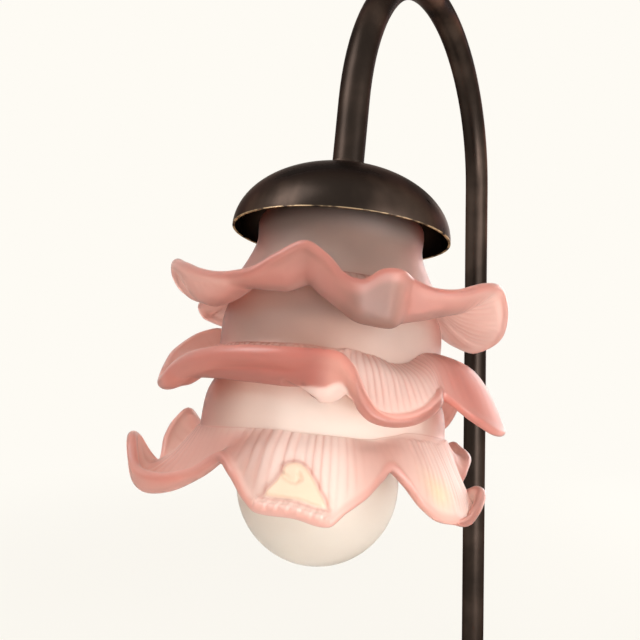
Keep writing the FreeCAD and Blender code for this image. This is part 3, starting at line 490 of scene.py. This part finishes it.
MIDDLE_RUFFLE = (
    (-176, 75, 50, 77, 55, 70, 57.5, 66.5), (-160, 75, 51, 80, 59, 78, 61, 76),
    (-149, 75, 52, 85, 59, 86, 62, 84), (-141, 75, 52, 91, 59, 91, 62.5, 89),
    (-128, 76, 50, 89, 57, 87, 60, 83.5), (-112, 76, 50, 89.5, 55.5, 85.5, 59.5, 80),
    (-95, 76, 49.5, 91, 54.5, 84.5, 59, 78.5), (-82, 76, 51, 92, 54.5, 84.5, 59, 78.3),
    (-72, 76, 50, 93, 55, 85, 58, 78), (-66, 76.3, 50, 97.5, 55.5, 87, 58, 77.8),
    (-60, 76.5, 50.5, 95, 55.5, 89, 58.5, 78.5), (-56.5, 76.5, 51, 87, 56, 92, 59, 81.5),
    (-54, 77, 50, 84, 57, 95, 59.5, 85.5), (-51, 77.5, 50, 82, 57, 97.5, 60, 91.5),
    (-47.5, 78.5, 50, 81, 57, 98.7, 60.5, 95.5), (-42, 79, 50, 81, 57, 98.5, 60.5, 97.2),
    (-36, 80.5, 50, 82, 57, 97.5, 60.5, 96), (-30, 80.5, 50, 82, 57, 95, 60, 93),
    (-24.5, 79.5, 49.5, 81, 55.5, 91, 59, 89), (-20, 78, 48, 79, 52.5, 87.5, 56, 87),
    (-14, 75, 46, 76, 50, 85, 52, 87.5), (-6, 74, 50, 74, 56, 86, 59, 94), (4, 73, 53, 74, 61, 88, 64, 98),
    (13, 73, 54, 74, 63, 90, 66, 98), (22, 73, 53, 76, 60, 88, 64, 95),
    (40, 74, 49.3, 79, 55.6, 81.1, 58, 82), (64, 74, 50.2, 74, 57.4, 90.1, 60, 97),
    (88, 74, 47.8, 80, 53.1, 78.6, 55, 78), (114, 74, 51.2, 74, 59.1, 88.7, 62, 95),
    (142, 74, 49.3, 80, 55.6, 77.2, 58, 76), (162, 74, 50, 74, 56, 74, 58, 72),
    (172, 74, 49, 73, 53.5, 66, 55.5, 64),
)
LOWER_RUFFLE = (
    (-178, 104, 50.6, 108, 57, 102, 60.5, 98), (-170, 104.5, 52, 112, 59, 107, 61.5, 102.5),
    (-163, 105, 52, 116, 59, 113, 61.5, 109.5), (-156, 105, 53, 118, 59, 121, 61, 119.5),
    (-150, 106, 54, 118, 65, 124, 68, 110),
    (-141, 106, 55, 121, 67, 131, 69.5, 110), (-132, 106, 54, 124, 64, 131, 68, 120),
    (-122, 106, 52, 124, 60, 128, 63, 122), (-110, 106, 50, 119, 56, 122, 59, 119.5),
    (-100, 106, 48, 112, 53, 114, 56, 115), (-92, 106, 49, 110, 55, 117, 58, 120),
    (-86, 106, 50, 109, 56, 123, 58, 127), (-82, 106, 50.5, 109, 56, 125, 58, 130),
    (-70, 106.5, 50.5, 109, 56, 125.5, 58, 130.5), (-59, 106.5, 50.5, 109, 56, 126, 58.5, 132),
    (-54, 106.5, 50, 109, 56, 123, 58, 127.5), (-48, 106.5, 49.5, 108, 55, 119, 57, 123),
    (-42, 106, 48, 108, 52, 114, 55, 117), (-38, 105, 47, 107, 51, 111, 54, 113.5),
    (-32, 104, 49, 107, 52.6, 114.4, 54.7, 118.1), (-26, 102.5, 51, 109, 55.1, 120.3, 56.1, 124.6),
    (-20, 102, 52, 111, 56.4, 125, 57.9, 128), (-13, 102, 53, 113, 58.5, 127.9, 59.3, 128.7),
    (-6, 102, 53, 115, 59, 129.8, 60.9, 126.6), (0, 102, 53, 117, 59.6, 129.6, 61.5, 121.7),
    (6, 102, 53, 118, 59.4, 128.5, 61, 117.1), (11, 102, 52.5, 118, 57.1, 125.9, 58.2, 116.4),
    (14, 102, 51, 117, 53.2, 123, 54.3, 118.6), (17, 102, 49, 116, 50.7, 120.5, 51.9, 121.4),
    (20, 102, 48.5, 114, 51.3, 117.3, 52.7, 117.1), (24, 102, 50, 111, 53.5, 112.8, 54.6, 113.4),
    (31, 102, 51, 109, 55.8, 107.5, 57.3, 106.6), (39, 102, 50.5, 110, 55.3, 104.7, 56.4, 103.1),
    (49, 102, 50, 110, 55.3, 104.2, 56.5, 102.5),
    (60, 102, 52.1, 113, 58.6, 122.8, 61, 127), (86, 102, 48.2, 112, 51.7, 110.6, 53, 110),
    (112, 102, 52.5, 113, 59.5, 124.9, 62, 130), (138, 102, 48.7, 112, 52.6, 109.2, 54, 108),
    (160, 102, 51.6, 116, 57.7, 117.4, 60, 118),
)
print("rows", len(UPPER_RUFFLE), len(MIDDLE_RUFFLE), len(LOWER_RUFFLE))

# %% [markdown]
# ## From rows to a surface
# Round the cup the rows are joined by smooth curves.  Down the cup each profile becomes a smooth
# curve held by its points.  Columns stand closer on the side that the camera sees, and rows stand
# closer on the petals and closest at the rim, which is rounded like a bead.

# %% Curves round the cup and down it
HEAD = Matrix.Translation(APEX) @ Matrix.Rotation(TILT, 4, "X")
EASE = 0.9     # slope of the curves round the cup, 1 is that of the line between neighbours
HOLE = 20.95   # radius of the hole round the lampholder
SEATS = {"cup_upper": 23.9, "cup_middle": 41.0, "cup_lower": 63.0}  # depth of each hole
KNEE = 0.7     # place of one more profile point between the wall's last two
TURN = 360.0
COLUMNS = 480
FRONT = -63.6  # angle that faces the camera


def control_net(seat, wall, ruffle):
    """Angles, and per angle the points (radius, depth) from the hole to the rim."""
    net = []
    for angle, root, belly_r, belly_d, lip_r, lip_d, rim_r, rim_d in ruffle:
        (last_r, last_d), foot_r = wall[-2], wall[-1][0]
        knee = (last_r + KNEE * (foot_r - last_r), last_d + KNEE * (root - last_d))
        petal = [(foot_r, root), (belly_r, belly_d), (lip_r, lip_d), (rim_r, rim_d)]
        net.append([(HOLE, seat), *wall[:-1], knee, *petal])
    return np.array([row[0] for row in ruffle], float), np.array(net, float)


def smooth(value, low, high):
    """0 below low, 1 above high, smooth between."""
    t = np.clip((value - low) / (high - low), 0, 1)
    return t * t * (3 - 2 * t)


def column_angles(start):
    """Angles once round the cup, three times as close on the side that the camera sees."""
    fine = np.linspace(start, start + TURN, 3601)
    weight = 1 + 2 * smooth(np.cos(np.radians(fine - FRONT)), -0.2, 0.2)
    total = np.concatenate([[0], np.cumsum((weight[1:] + weight[:-1]) / 2)])
    return np.interp(np.linspace(0, total[-1], COLUMNS + 1), total, fine)


def round_the_cup(angles, net):
    """The net at the column angles, joined by periodic cubic curves."""
    a = np.concatenate([angles - TURN, angles, angles + TURN])
    p = np.concatenate([net, net, net])
    slope = np.zeros_like(p)
    slope[1:-1] = EASE * (p[2:] - p[:-2]) / (a[2:] - a[:-2])[:, None, None]
    want = column_angles(angles[0])
    k = np.clip(np.searchsorted(a, want, side="right") - 1, 0, len(a) - 2)
    h = (a[k + 1] - a[k])[:, None, None]
    t = ((want - a[k]) / (a[k + 1] - a[k]))[:, None, None]
    return want, ((2 * t**3 - 3 * t**2 + 1) * p[k] + (t**3 - 2 * t**2 + t) * h * slope[k]
                  + (-2 * t**3 + 3 * t**2) * p[k + 1] + (t**3 - t**2) * h * slope[k + 1])


def down_the_cup(net, s):
    """Each profile as a cubic B-spline that starts and ends on its end points."""
    first = 2 * net[:, :1] - net[:, 1:2]
    last = 2 * net[:, -1:] - net[:, -2:-1]
    q = np.concatenate([first, net, last], axis=1)
    k = np.minimum(s.astype(int), net.shape[1] - 2)
    u = (s - k)[None, :, None]
    return ((1 - u)**3 * q[:, k] + (3 * u**3 - 6 * u**2 + 4) * q[:, k + 1]
            + (-3 * u**3 + 3 * u**2 + 3 * u + 1) * q[:, k + 2] + u**3 * q[:, k + 3]) / 6


print(COLUMNS, "columns, closest round", FRONT, "degrees")

# %% Rows of the grid and the thickness of the glass
WALL_ROWS = 22
PETAL_ROWS = 58
RIM_ROWS = 12
PETAL_SPAN = 3.5   # profile points from the rim up to which the rows stand close
RIM_SPAN = 0.45    # and up to which they stand closest
HALF_GLASS = 1.5
BEAD = 1.75        # half the glass's thickness at a plain rim
BEAD_FADES = 2.6   # a bead runs out into the sheet at this many times its size


def section_steps(spans):
    """Places down the profile: wide steps on the wall, close ones on the petal, closest at the rim."""
    wall = np.linspace(0, spans - PETAL_SPAN, WALL_ROWS, endpoint=False)
    petal = np.linspace(spans - PETAL_SPAN, spans - RIM_SPAN, PETAL_ROWS)
    closing = spans - RIM_SPAN * (1 - np.sin(np.linspace(0, 0.5, RIM_ROWS + 1)[1:] * math.pi))
    return np.concatenate([wall, petal, closing])


def round_table(table, angles):
    """Values given at some angles, joined smoothly round the cup."""
    at = np.array([row[0] for row in table], float)
    value = np.array([row[1] for row in table], float)
    at = np.concatenate([at - TURN, at, at + TURN])
    value = np.concatenate([value, value, value])
    k = np.clip(np.searchsorted(at, angles, side="right") - 1, 0, len(at) - 2)
    t = (angles - at[k]) / (at[k + 1] - at[k])
    t = t * t * (3 - 2 * t)
    return value[k] * (1 - t) + value[k + 1] * t


def half_thickness(to_rim, bead):
    """Half the glass's thickness: a round bead at the rim that runs out into the plain sheet."""
    rounded = np.sqrt(np.clip(bead**2 - (bead - np.minimum(to_rim, bead))**2, 0, None))
    sheet = bead + (HALF_GLASS - bead) * smooth(to_rim, bead, BEAD_FADES * bead)
    return np.where(to_rim < bead, rounded, sheet)


print(WALL_ROWS + PETAL_ROWS + RIM_ROWS, "rows a side")

# %% [markdown]
# ## Ribs and worked places
# The petals are ribbed: ridges run from the root of the ruffle towards the rim, with narrow grooves
# between them, each rib a little different.  Worked places are drawn on the petals as lines and
# outlines of points, each point in degrees round the cup and millimetres from the rim.

# %% Ribs, lines and outlines
RIB_HEIGHT = 0.6
RIB_STARTS = {"cup_upper": ((-180, 0), (0, 0)), "cup_middle": ((-180, 0), (0, 0)),
              "cup_lower": ((-180, 0), (-42, 0), (-32, 0.5), (-8, 0.35), (6, 0))}
RIBS_BEFORE_ROOT = 0.42  # in profile points, where the first ribs start
RIB_RISE = 0.16          # in profile points, over which a rib rises


def ribs(table, want):
    """Ridges with narrow grooves between them, from ribs per degree; and a number for each rib."""
    rate = round_table(table, want)
    count = np.concatenate([[0], np.cumsum((rate[1:] + rate[:-1]) / 2 * np.diff(want))])
    count *= np.rint(count[-1]) / count[-1]
    which = np.floor(count)
    ridge = 1 - np.abs(2 * (count - which) - 1) ** 3
    return ridge[:, None], (0.5 + 0.5 * np.sin(2.4 * which + 1.7 * np.sin(5.1 * which)))[:, None]


def to_line(points, a, t):
    """Millimetres from places (degrees round, mm from the rim) to a broken line of such points.

    A degree counts as a millimetre, which is close to the truth at the petals.
    """
    nearest = np.full(np.broadcast_shapes(a.shape, t.shape), 1e3)
    for (a0, t0), (a1, t1) in zip(points, points[1:]):
        da, dt = a1 - a0, t1 - t0
        k = np.clip(((a - a0) * da + (t - t0) * dt) / (da * da + dt * dt), 0, 1)
        nearest = np.minimum(nearest, np.hypot(a - a0 - k * da, t - t0 - k * dt))
    return nearest


def within(outline, a, t):
    """Millimetres inside a closed outline, below 0 outside it."""
    inside = np.zeros(np.broadcast_shapes(a.shape, t.shape), bool)
    for (a0, t0), (a1, t1) in zip(outline, outline[1:]):
        crossed = (t0 > t) != (t1 > t)
        inside ^= crossed & (a < a0 + (t - t0) * (a1 - a0) / (t1 - t0 + 1e-9))
    return np.where(inside, 1, -1) * to_line(outline, a, t)


print("ribs", RIB_HEIGHT, "mm high")

# %% [markdown]
# The tip of the lower cup's front petal is folded up over its face.  The flap lies on the petal,
# cream at its edge, with a curl on it; painted shade lies in the curl and along the flap's edge, and a
# warm painted highlight lies on a petal further right.  On the underside of the middle cup a pale pocket
# opens, paler with painted light, and its edge is pressed in and carries painted shade.

# %% Folded tip and pocket
FLAP = ((-80.4, 4.8), (-79.6, 6), (-79.3, 7.4), (-76.9, 10.6), (-75.7, 13.6), (-75.2, 15.4), (-74, 16.6),
        (-71.5, 17.3), (-68.8, 17), (-66.4, 15.6), (-63.7, 12.5), (-60.7, 8), (-59.3, 4.8), (-80.4, 4.8))
CURL = ((-75.5, 13.6), (-74.2, 12), (-72, 10.7), (-70, 10.6), (-68.7, 11.8), (-69.7, 13.2))
FOLD_ENDS = (-83, -58.5)  # degrees round the cup
FOLD_DEPTH = 2.5          # from the rim to the crest of the fold
FOLD_HEIGHT = 2.2
FOLD_LUMPS = 0.6
FOLD_TAPER = 1.6          # degrees over which the fold runs out at each end
FLAP_HEIGHT = 2.0
FLAP_GUTTER = 0.5         # depth of the hollow round the flap
CURL_DEPTH = 1.1
# Place of a warm painted highlight: degrees round the cup and mm from the rim.
HIGHLIGHT_AT = (-19, 9)
POCKET = ((-78, 12), (-71.1, 14.7), (-67.1, 16.6), (-64.9, 21.2), (-61.9, 25.6), (-56, 30), (-50, 22),
          (-50, 6), (-58, 7), (-64, 11), (-78, 12))
POCKET_EDGE = POCKET[:6]
POCKET_EDGE_DEPTH = 0.8
POCKET_PALE = 0.8


def folded_tip(a, t):
    """Relief of the front petal's folded tip, and how much each place is flap, painted shade in the crease and
    at the flap's edge, and warm painted highlight.
    """
    u = np.clip(np.abs(t - FOLD_DEPTH) / FOLD_DEPTH, 0, 1)
    first, last = FOLD_ENDS
    ends = smooth(a, first, first + FOLD_TAPER) * (1 - smooth(a, last - FOLD_TAPER, last))
    lumps = 0.5 * np.sin(1.9 * a + 1.4 * np.sin(1.3 * t)) + 0.5 * np.sin(3.7 * a - 1.8 * t)
    fold = ends * np.sqrt(1 - u * u) * (FOLD_HEIGHT + FOLD_LUMPS * lumps)
    deep = within(FLAP, a, t)
    gutter = smooth(deep, -2.4, -1.4) * (1 - smooth(deep, -0.8, 0))
    flap = FLAP_HEIGHT * smooth(deep, -0.1, 1.3) - FLAP_GUTTER * gutter
    crease = (1 - smooth(to_line(CURL, a, t), 0.2, 1.0)) * smooth(deep, 0, 0.6)
    painted_highlight = np.exp(-((a - HIGHLIGHT_AT[0]) / 6) ** 2 - ((t - HIGHLIGHT_AT[1]) / 5) ** 2)
    # Painted shade along the flap's edge.
    edge = np.exp(-((deep + 0.5) / 0.6) ** 2)
    return fold + flap - CURL_DEPTH * crease, smooth(deep, 0, 0.9), crease + edge, painted_highlight


def pocket(a, t):
    """How pale the underside of the middle cup is, as painted light, and where its pocket's edge runs, which
    carries painted shade.
    """
    milky_and_lit = POCKET_PALE * smooth(within(POCKET, a, t), 0, 1.5)
    return milky_and_lit, 1 - smooth(to_line(POCKET_EDGE, a, t), 0.3, 1.6)


print("flap of", len(FLAP) - 1, "points, pocket of", len(POCKET) - 1)

# %% [markdown]
# ## One cup
# The middle of the glass is laid out first, then its two skins half a thickness to each side, with
# ribs, folds and a small step where the ruffle starts.  A flat grid is rolled into that shape, its
# seam is merged, and the marks for the finish go on its points.

# %% Roll a grid into a cup
STEP = 0.35         # height of the step where a ruffle starts
STEP_AT = 0.40      # in profile points above the root
STEP_RISE = 0.06
# The step where a ruffle starts carries a thin line of painted shade.
LINE_WIDTH = 0.035  # in profile points, of the dark line at the step
GROOVE = -1.0       # depth of the groove that runs along under the rim
GROOVE_AT = 8.5     # from the rim
GROOVE_WIDTH = 2.0
# The top of each wall carries painted shade, as under the dome; it fades out over these profile points.
DOME_SHADE_START = 1.5    # profile points over which the dark neck of a wall fades out
DOME_SHADE_END = {"cup_upper": 4.6, "cup_middle": 2.0, "cup_lower": 2.0}


def middle_sheet(name, wall, ruffle):
    """Column angles, row places, points and outward normals of the sheet's middle, mm to its rim."""
    angles, net = control_net(SEATS[name], wall, ruffle)
    want, net = round_the_cup(angles, net)
    s = section_steps(net.shape[1] - 1)
    sheet = down_the_cup(net, s)
    theta = np.radians(want)[:, None]
    radius, depth = sheet[:, :, 0], sheet[:, :, 1]
    middle = np.stack([radius * np.cos(theta), radius * np.sin(theta), -depth], axis=-1)

    around = np.gradient(np.concatenate([middle[-3:-1], middle, middle[1:3]]), axis=0)[2:-2]
    down = np.gradient(middle, s, axis=1)
    outward = np.cross(down, around)
    outward /= np.linalg.norm(outward, axis=-1, keepdims=True)
    steps = np.linalg.norm(np.diff(middle, axis=1), axis=-1)
    left = np.cumsum(steps[:, ::-1], axis=1)[:, ::-1]
    return want, s, middle, outward, np.concatenate([left, np.zeros((COLUMNS + 1, 1))], axis=1)


def both_sides(above, below):
    """Values down the outer skin, back up the inner one and on to where they started."""
    return np.concatenate([above, below[:, -2::-1], above[:, :1]], axis=1)


def rolled_grid(name, skin, marks):
    """A flat grid bent into the skin, which closes round the cup and round its own section."""
    loops = skin.shape[1] - 1
    bpy.ops.object.select_all(action="DESELECT")
    bpy.ops.mesh.primitive_grid_add(x_subdivisions=COLUMNS, y_subdivisions=loops, size=2)
    cup = bpy.context.object
    cup.name = name
    flat = np.empty(len(cup.data.vertices) * 3)
    cup.data.vertices.foreach_get("co", flat)
    flat = flat.reshape(-1, 3)
    column = np.rint((flat[:, 0] + 1) / 2 * COLUMNS).astype(int)
    row = np.rint((flat[:, 1] + 1) / 2 * loops).astype(int)
    cup.data.vertices.foreach_set("co", skin[column, row].ravel())
    for label, value in marks.items():
        cup.data.attributes.new(label, "FLOAT", "POINT").data.foreach_set("value", value[column, row])
    cup.data.transform(HEAD)
    bpy.ops.object.mode_set(mode="EDIT")
    bpy.ops.mesh.select_all(action="SELECT")
    bpy.ops.mesh.remove_doubles(threshold=2e-6)
    bpy.ops.mesh.normals_make_consistent(inside=False)
    bpy.ops.object.mode_set(mode="OBJECT")
    bpy.ops.object.shade_smooth()
    return cup


def glass_cup(name, wall, ruffle, beads, ribbed_above, ribbed_below, spacing, tints):
    """One cup with its relief and its marks, put in the place of the plain CAD shade."""
    want, s, middle, outward, to_rim = middle_sheet(name, wall, ruffle)
    plain = half_thickness(to_rim, BEAD)
    rolled = half_thickness(to_rim, round_table(beads, want)[:, None])

    root = len(wall) + 1
    a = ((want + 180) % 360 - 180)[:, None]
    ridge, number = ribs(spacing, want)
    start = root - RIBS_BEFORE_ROOT + 0.1 * number + round_table(RIB_STARTS[name], want)[:, None]
    window = smooth(s[None, :], start, start + RIB_RISE)
    window = window * smooth(to_rim, 0.6 * BEAD + number, 3 * BEAD + 5 * number)
    shaded_groove = window * (1 - ridge) * (0.3 + 0.7 * number)
    rib = RIB_HEIGHT * (0.6 + 0.4 * number) * window * ridge
    above = round_table(ribbed_above, want)[:, None]
    below = round_table(ribbed_below, want)[:, None]
    petal = np.broadcast_to(smooth(s, root - 1.2, root + 1.0), to_rim.shape)
    tint = {label: round_table(table, want)[:, None] for label, table in tints.items()}

    relief, cream, painted_highlight = rib * above, 0 * petal, 0 * petal
    milky_and_lit_below, shaded_groove_below = petal * tint["below"], shaded_groove * below
    if name == "cup_lower":
        tip, cream, crease, painted_highlight = folded_tip(a, to_rim)
        relief = relief * (1 - cream) + tip
        shaded_groove = shaded_groove * (1 - cream) + crease
    step = smooth(s, root - STEP_AT, root - STEP_AT + STEP_RISE) * (1 - smooth(s, root + 0.1, root + 0.8))
    step_shade = np.exp(-((s - root + STEP_AT) / LINE_WIDTH) ** 2)
    hollow = GROOVE * np.exp(-((to_rim - GROOVE_AT) / GROOVE_WIDTH) ** 2) * tint["shaded_groove"] + rib * below
    if name == "cup_middle":
        milky_and_lit_below, shaded_groove_below = pocket(a, to_rim)
        hollow = hollow - POCKET_EDGE_DEPTH * shaded_groove_below
    outer = middle + outward * (plain + relief + STEP * step)[:, :, None]
    inner = middle - outward * (rolled + hollow)[:, :, None]

    deep = petal * tint["deep"]
    dome_shade = np.broadcast_to(1 - smooth(s, DOME_SHADE_START, DOME_SHADE_END[name]), to_rim.shape)
    smoky_shade = petal * tint["smoky_shade"] * smooth(to_rim, 3, 6)
    sides = {
        "petal": (petal, petal),
        "to_rim": (to_rim, to_rim),
        # Milky glass with painted light: the wall lit through from behind and the petals' faces toward the
        # light.
        "milky_and_lit": (tint["wall"] * (1 - petal) + tint["above"] * petal, milky_and_lit_below),
        # Painted shade in rib grooves, creases, along the flap's and the pocket's edges and at the step.
        "shaded_groove": (shaded_groove * above + 0.6 * step_shade, shaded_groove_below),
        "cream": (cream, 0 * cream),
        # A warm painted highlight on a petal of the lower cup.
        "painted_highlight": (painted_highlight, 0 * painted_highlight),
        # Painted shade: smoky grey on the shadowed side of some petals.
        "smoky_shade": (smoky_shade, smoky_shade),
        "deep": (deep, deep),
        # Painted shade high in the wall, under the dome.
        "dome_shade": (dome_shade, dome_shade),
    }
    marks = {label: both_sides(*pair) for label, pair in sides.items()}
    cup = rolled_grid(name, both_sides(outer, inner) * MM, marks)
    cup.data.materials.append(finishes["frosted_pink"])
    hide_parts(name.replace("cup", "shade"))
    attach(cup, "lamp")
    print(name, len(cup.data.polygons), "faces")
    return cup


print("marks for the finish: petal, to_rim, pale, groove, cream, yellow, smoke, deep, neck")

# %% [markdown]
# ## Blowing the cups
# Beads are half thicknesses of the rims.  The tables of ribs say how plain they are above and below
# the petals, with their number for each degree.  Tints say where a cup is milky and paler with painted
# light, grey with painted smoky shade, deep or grooved.  All tables give values at angles round the cup.

# %% Blow the three cups
NONE = ((-180, 0), (0, 0))
glass_cup("cup_upper", UPPER_WALL, UPPER_RUFFLE,
          beads=((-180, 1.8), (-140, 2.4), (-110, 1.8)),
          ribbed_above=((-180, 1), (0, 1)),
          ribbed_below=((-60, 0), (-16, 0), (-2, 1), (36, 1), (60, 0)),
          spacing=((-180, 0.25), (-30, 0.25), (-5, 0.34), (35, 0.34), (70, 0.25)),
          tints={"wall": NONE, "above": ((-180, 0.15), (0, 0.15)), "deep": NONE, "shaded_groove": NONE,
                 "below": ((-180, 0), (-14, 0), (2, 0.45), (36, 0.45), (50, 0)),
                 "smoky_shade": ((-180, 0), (-66, 0), (-56, 0.8), (-44, 1), (-39, 0))})
glass_cup("cup_middle", MIDDLE_WALL, MIDDLE_RUFFLE,
          beads=((-180, 1.9), (-150, 2.2), (-135, 3.0), (-80, 3.4), (-66, 2.6), (-52, 2.8), (-28, 3.0),
                 (-14, 2.2), (0, 1.8)),
          ribbed_above=((-180, 1), (-60, 1), (-12, 0.9), (-4, 0.1), (24, 0.1), (44, 1)),
          ribbed_below=NONE,
          spacing=((-180, 0.25), (-62, 0.3), (-52, 0.4), (-10, 0.4), (10, 0.25)),
          tints={"wall": ((-180, 0), (-70, 0), (-35, 0.25), (-15, 0.3), (10, 0.2)),
                 "above": ((-180, 0.1), (-68, 0.1), (-60, 0.75), (-28, 0.7), (-14, 0.4), (-4, 0), (40, 0)),
                 "below": NONE, "smoky_shade": NONE,
                 "deep": ((-180, 0.6), (-80, 0.7), (-70, 0.7), (-62, 0), (-24, 0), (-8, 0.8), (40, 0.8)),
                 "shaded_groove": ((-150, 0), (-135, 1), (-80, 1), (-70, 0))})
glass_cup("cup_lower", LOWER_WALL, LOWER_RUFFLE,
          beads=((-180, 1.8), (-100, 1.8), (-86, 2.2), (-60, 2.2), (-48, 1.8)),
          ribbed_above=((-180, 1), (-142, 1), (-128, 0.15), (-98, 0.15), (-90, 1), (-54, 1), (-46, 0.1),
                        (-30, 0.1), (-24, 1)),
          ribbed_below=NONE,
          spacing=((-180, 0.25), (-92, 0.22), (-76, 0.25), (-66, 0.34), (-50, 0.34), (-30, 0.34),
                   (-20, 0.44), (20, 0.44), (50, 0.25)),
          tints={"wall": ((-180, 0), (-115, 0.05), (-92, 0.5), (-75, 0.9), (-50, 1), (-25, 0.6), (-5, 0.2)),
                 "above": ((-180, 0.2), (-150, 0.3), (-135, 0.1), (-98, 0.1), (-88, 0.4), (-78, 0.8),
                           (-58, 0.9), (-46, 0.45), (-36, 0.45), (-26, 0.6), (-18, 0.8), (10, 0.8),
                           (20, 0.3), (40, 0.3)),
                 "below": ((-180, 0), (-6, 0), (4, 0.5), (14, 0.5), (24, 0.2), (50, 0.2)),
                 "smoky_shade": ((-180, 0), (-98, 0), (-90, 0.45), (-84, 0.35), (-78, 0)),
                 "deep": NONE, "shaded_groove": NONE})
